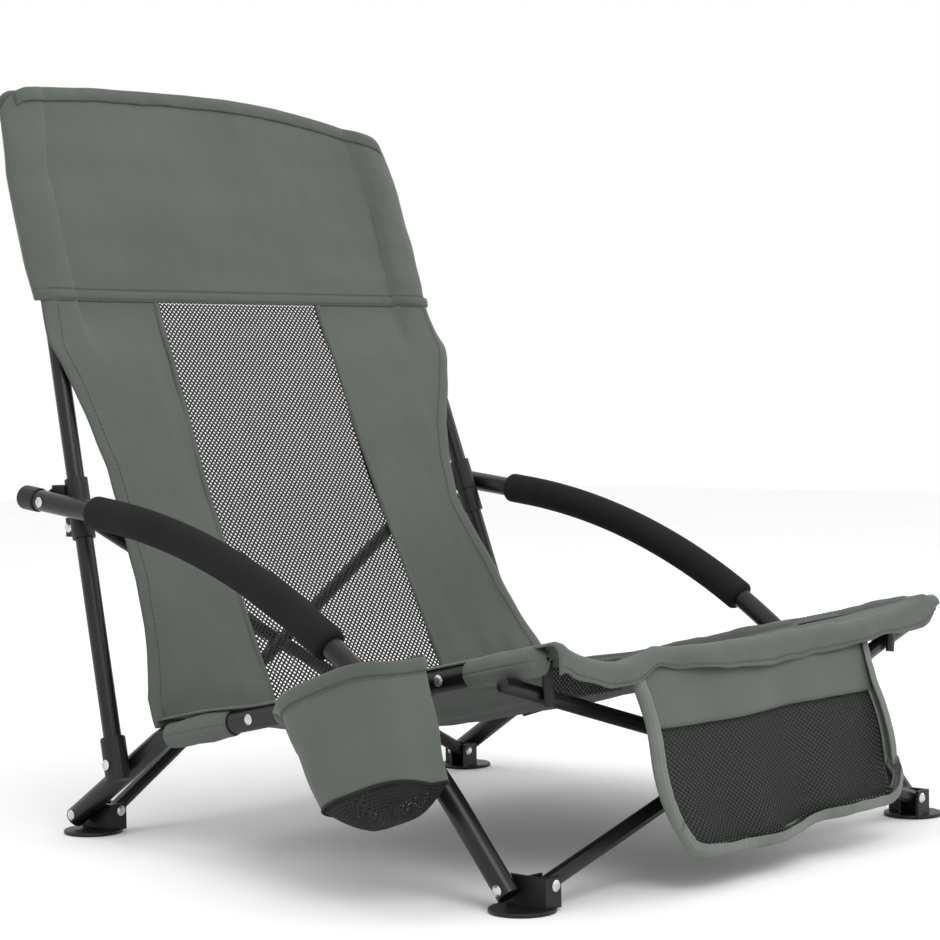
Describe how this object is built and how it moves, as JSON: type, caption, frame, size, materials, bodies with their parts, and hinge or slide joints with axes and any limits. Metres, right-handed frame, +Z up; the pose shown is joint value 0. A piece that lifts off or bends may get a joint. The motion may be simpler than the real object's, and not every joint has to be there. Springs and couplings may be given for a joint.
{
  "type": "folding camp chair",
  "caption": "Low folding beach chair: bent arm tubes over crossed braces carry a fabric sling with a mesh back, foam armrests, a cup holder and a front pocket.",
  "frame": {"origin": "on the floor, under the middle of the open chair's bounding box", "axes": "+Z up, -Y the way a sitter faces, +X to the sitter's left"},
  "size_m": [0.6621, 0.7161, 0.6824],
  "materials": {
    "black_paint": "gloss powder coat on steel tube",
    "black_plastic": "satin moulded polypropylene",
    "foam": "matte closed-cell foam",
    "rivet_steel": "zinc-plated rivets",
    "grey_fabric": "matte grey-green plain weave polyester",
    "black_mesh": "open black polyester mesh"
  },
  "bodies": {
    "front_foot_right": {"foot_front_right": "black_plastic", "foot_side_rivet_front_right": "rivet_steel", "foot_cross_rivet_front_right": "rivet_steel"},
    "arm_right": {"arm_tube_right": "black_paint", "arm_foam_grip_right": "foam", "arm_end_cap_right": "black_plastic", "arm_pivot_rivet_right": "rivet_steel"},
    "slider_right": {"slide_collar_right": "black_plastic"},
    "post_right": {"back_post_right": "black_paint", "post_socket_right": "black_plastic", "stop_collar_right": "black_plastic", "collar_screw_right": "rivet_steel", "headrest_panel": "grey_fabric", "back_side_panel_right": "grey_fabric", "back_side_panel_left": "grey_fabric", "back_mesh_panel": "black_mesh"},
    "rail_right": {"seat_rail_right": "black_paint", "rail_rivet_right": "rivet_steel", "hanger_rivet_right": "rivet_steel", "socket_rivet_right": "rivet_steel", "seat_panel": "grey_fabric", "front_pocket": "grey_fabric", "cup_holder": "grey_fabric", "cup_holder_base": "black_mesh"},
    "hanger_right": {"cross_hanger_right": "black_plastic"},
    "rear_foot_right": {"foot_rear_right": "black_plastic", "foot_side_rivet_rear_right": "rivet_steel", "foot_cross_rivet_rear_right": "rivet_steel"},
    "front_foot_left": {"foot_front_left": "black_plastic", "foot_side_rivet_front_left": "rivet_steel", "foot_cross_rivet_front_left": "rivet_steel"},
    "arm_left": {"arm_tube_left": "black_paint", "arm_foam_grip_left": "foam", "arm_end_cap_left": "black_plastic", "arm_pivot_rivet_left": "rivet_steel"},
    "slider_left": {"slide_collar_left": "black_plastic"},
    "post_left": {"back_post_left": "black_paint", "post_socket_left": "black_plastic", "stop_collar_left": "black_plastic", "collar_screw_left": "rivet_steel"},
    "rail_left": {"seat_rail_left": "black_paint", "rail_rivet_left": "rivet_steel", "hanger_rivet_left": "rivet_steel", "socket_rivet_left": "rivet_steel"},
    "hanger_left": {"cross_hanger_left": "black_plastic"},
    "rear_foot_left": {"foot_rear_left": "black_plastic", "foot_side_rivet_rear_left": "rivet_steel", "foot_cross_rivet_rear_left": "rivet_steel"},
    "front_cross_a": {"front_cross_tube_a": "black_paint", "front_cross_rivet": "rivet_steel", "hanger_pin_left": "rivet_steel"},
    "front_cross_b": {"front_cross_tube_b": "black_paint", "hanger_pin_right": "rivet_steel"},
    "rear_cross_a": {"rear_cross_tube_a": "black_paint", "collar_pin_left": "rivet_steel"},
    "rear_cross_b": {"rear_cross_tube_b": "black_paint", "collar_pin_right": "rivet_steel", "rear_cross_rivet": "rivet_steel"}
  },
  "joints": [
    {"name": "fold", "type": "hinge", "parent": "front_foot_right", "child": "front_cross_a", "pos_m": [-0.22245, -0.30352, 0.0195], "axis": [0, -0.9911, 0.1333], "range_deg": [0, 42], "deforming": ["headrest_panel", "back_side_panel_right", "back_side_panel_left", "back_mesh_panel", "seat_panel", "front_pocket", "cup_holder", "cup_holder_base"]},
    {"name": "front_scissor", "type": "hinge", "parent": "front_cross_a", "child": "front_cross_b", "pos_m": [0.03295, -0.2937, 0.09252], "axis": [0, -0.9911, 0.1333], "range_deg": [-85, 0]},
    {"name": "front_foot_left_turn", "type": "hinge", "parent": "front_cross_b", "child": "front_foot_left", "pos_m": [0.28835, -0.30352, 0.0195], "axis": [0, -0.9911, 0.1333], "range_deg": [0, 43]},
    {"name": "arm_right_turn", "type": "hinge", "parent": "front_foot_right", "child": "arm_right", "pos_m": [-0.24465, -0.28212, 0.0165], "axis": [0.9981, 0, -0.0609], "range_deg": [0, 28]},
    {"name": "slider_right_turn", "type": "hinge", "parent": "arm_right", "child": "slider_right", "pos_m": [-0.24465, 0.26098, 0.3], "axis": [1, 0, 0], "range_deg": [-17.3, 0]},
    {"name": "post_right_slide", "type": "slide", "parent": "slider_right", "child": "post_right", "axis": [-0.083, -0.2864, -0.9545], "range_m": [0, 0.1633]},
    {"name": "rail_right_turn", "type": "hinge", "parent": "post_right", "child": "rail_right", "pos_m": [-0.22255, 0.17266, 0.06893], "axis": [0.9965, -0.0239, -0.0795], "range_deg": [-59, 0]},
    {"name": "rear_foot_right_turn", "type": "hinge", "parent": "rail_right", "child": "rear_foot_right", "pos_m": [-0.22255, 0.25188, 0.0165], "axis": [1, 0, 0], "range_deg": [0, 48.3]},
    {"name": "hanger_right_turn", "type": "hinge", "parent": "rail_right", "child": "hanger_right", "pos_m": [-0.22255, -0.20443, 0.16867], "axis": [1, 0, 0], "range_deg": [0, 48.3]},
    {"name": "arm_left_turn", "type": "hinge", "parent": "front_foot_left", "child": "arm_left", "pos_m": [0.31055, -0.28212, 0.0165], "axis": [0.9981, 0, 0.0609], "range_deg": [0, 28]},
    {"name": "slider_left_turn", "type": "hinge", "parent": "arm_left", "child": "slider_left", "pos_m": [0.31055, 0.26098, 0.3], "axis": [1, 0, 0], "range_deg": [-17.3, 0]},
    {"name": "post_left_slide", "type": "slide", "parent": "slider_left", "child": "post_left", "axis": [0.083, -0.2864, -0.9545], "range_m": [0, 0.1633]},
    {"name": "rail_left_turn", "type": "hinge", "parent": "post_left", "child": "rail_left", "pos_m": [0.28845, 0.17266, 0.06893], "axis": [0.9965, 0.0239, 0.0795], "range_deg": [-59, 0]},
    {"name": "rear_foot_left_turn", "type": "hinge", "parent": "rail_left", "child": "rear_foot_left", "pos_m": [0.28845, 0.25188, 0.0165], "axis": [1, 0, 0], "range_deg": [0, 48.3]},
    {"name": "hanger_left_turn", "type": "hinge", "parent": "rail_left", "child": "hanger_left", "pos_m": [0.28845, -0.20443, 0.16867], "axis": [1, 0, 0], "range_deg": [0, 48.3]},
    {"name": "rear_cross_a_turn", "type": "hinge", "parent": "rear_foot_right", "child": "rear_cross_a", "pos_m": [-0.20035, 0.23048, 0.0195], "axis": [0, -0.9861, 0.1664], "range_deg": [0, 33.5]},
    {"name": "rear_cross_b_turn", "type": "hinge", "parent": "rear_foot_left", "child": "rear_cross_b", "pos_m": [0.26625, 0.23048, 0.0195], "axis": [0, 0.9861, -0.1664], "range_deg": [0, 33.5]}
  ],
  "couplings": [
    {"joint": "front_scissor", "follows": "fold", "ratio": -2},
    {"joint": "front_foot_left_turn", "follows": "fold", "ratio": 1},
    {"joint": "arm_right_turn", "follows": "fold", "ratio": 0.6431},
    {"joint": "slider_right_turn", "follows": "fold", "ratio": -0.3892},
    {"joint": "post_right_slide", "follows": "fold", "m_per_rad": 0.2201},
    {"joint": "rail_right_turn", "follows": "fold", "ratio": -1.3801},
    {"joint": "rear_foot_right_turn", "follows": "fold", "ratio": 1.1262},
    {"joint": "hanger_right_turn", "follows": "fold", "ratio": 1.1262},
    {"joint": "arm_left_turn", "follows": "fold", "ratio": 0.6431},
    {"joint": "slider_left_turn", "follows": "fold", "ratio": -0.3892},
    {"joint": "post_left_slide", "follows": "fold", "m_per_rad": 0.2201},
    {"joint": "rail_left_turn", "follows": "fold", "ratio": -1.3801},
    {"joint": "rear_foot_left_turn", "follows": "fold", "ratio": 1.1262},
    {"joint": "hanger_left_turn", "follows": "fold", "ratio": 1.1262},
    {"joint": "rear_cross_a_turn", "follows": "fold", "ratio": 0.7739},
    {"joint": "rear_cross_b_turn", "follows": "fold", "ratio": 0.7739}
  ]
}
